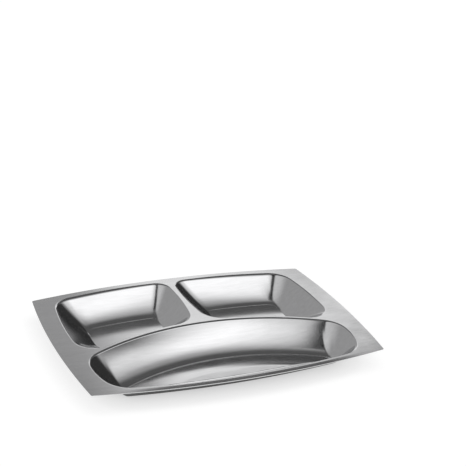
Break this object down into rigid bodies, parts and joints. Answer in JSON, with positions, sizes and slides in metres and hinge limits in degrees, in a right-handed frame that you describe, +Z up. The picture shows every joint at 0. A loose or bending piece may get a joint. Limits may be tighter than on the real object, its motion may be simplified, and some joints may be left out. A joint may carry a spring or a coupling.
{
  "type": "divided serving dish",
  "caption": "Pressed stainless serving dish: a flat bowed deck with two square wells at the rear and a long arched well in front.",
  "frame": {"origin": "under the middle of the dish, on the surface that it stands on", "axes": "+X along the length, +Y to the side with the square wells, +Z up out of the wells"},
  "size_m": [0.31, 0.215, 0.02],
  "materials": {
    "satin_steel": "satin"
  },
  "bodies": {
    "root": {"deck_flange": "satin_steel", "rear_left_wall": "satin_steel", "rear_left_floor": "satin_steel", "rear_right_wall": "satin_steel", "rear_right_floor": "satin_steel", "front_wall": "satin_steel", "front_floor": "satin_steel"}
  },
  "joints": []
}
